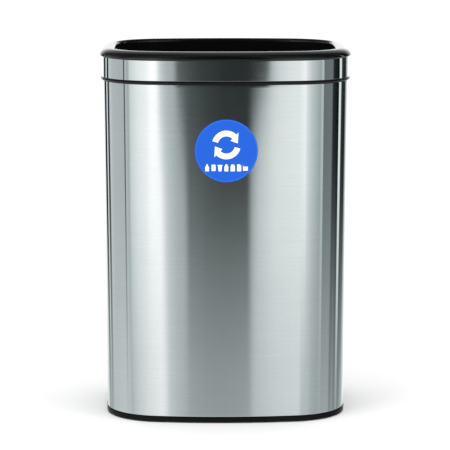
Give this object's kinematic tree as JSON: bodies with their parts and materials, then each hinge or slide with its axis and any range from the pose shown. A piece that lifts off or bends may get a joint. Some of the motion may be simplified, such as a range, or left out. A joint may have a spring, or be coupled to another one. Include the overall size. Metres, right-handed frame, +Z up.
{
  "type": "oval open-top recycling bin",
  "caption": "Slim indoor recycling bin: bowed brushed steel shell, lift-off collar with a black rim round an open mouth, and a lift-out liner with a wire bail.",
  "frame": {"origin": "centre of the footprint on the floor, at the underside of the rubber feet", "axes": "+X to the bin's right as seen from the front, +Y to its back, so the label faces -Y, +Z up"},
  "size_m": [0.402, 0.332, 0.5893],
  "materials": {
    "brushed_steel_shell": "fine horizontal brushing, satin",
    "brushed_steel_collar": "fine horizontal brushing, satin",
    "brushed_steel_strip": "vertical brushing, satin",
    "pan_steel": "galvanised sheet, matt",
    "screw_steel": "bright zinc plate",
    "pin_steel": "bright zinc plate",
    "wire_steel": "bright zinc plate",
    "ring_plastic": "black, satin",
    "base_plastic": "black, satin",
    "rim_plastic": "black, polished",
    "liner_plastic": "black, fine texture",
    "grip_plastic": "black, satin",
    "foot_rubber": "matt black",
    "pad_rubber": "matt black",
    "label_vinyl": "blue print on white pictograms, gloss film"
  },
  "bodies": {
    "bin": {"body_shell": "brushed_steel_shell", "top_ring": "ring_plastic", "floor_pan": "pan_steel", "base_skirt": "base_plastic", "base_screws": "screw_steel", "foot_front_left": "foot_rubber", "foot_front_right": "foot_rubber", "foot_back_left": "foot_rubber", "foot_back_right": "foot_rubber", "foot_screws": "screw_steel", "recycle_label": "label_vinyl", "seam_strip": "brushed_steel_strip"},
    "liner": {"liner_bucket": "liner_plastic", "bail_pins": "pin_steel"},
    "collar": {"collar_band": "brushed_steel_collar", "rim_moulding": "rim_plastic", "collar_screws": "screw_steel", "grip_pads": "pad_rubber"},
    "bail": {"bail_wire": "wire_steel", "bail_grip": "grip_plastic"}
  },
  "joints": [
    {"name": "liner_lift", "type": "slide", "parent": "bin", "child": "liner", "axis": [0, 0, 1], "range_m": [0, 0.6]},
    {"name": "collar_lift", "type": "slide", "parent": "liner", "child": "collar", "axis": [0, 0, 1], "range_m": [0, 0.2]},
    {"name": "bail_swing", "type": "hinge", "parent": "liner", "child": "bail", "pos_m": [0, 0, 0.52], "axis": [-1, 0, 0], "range_deg": [0, 180]}
  ]
}
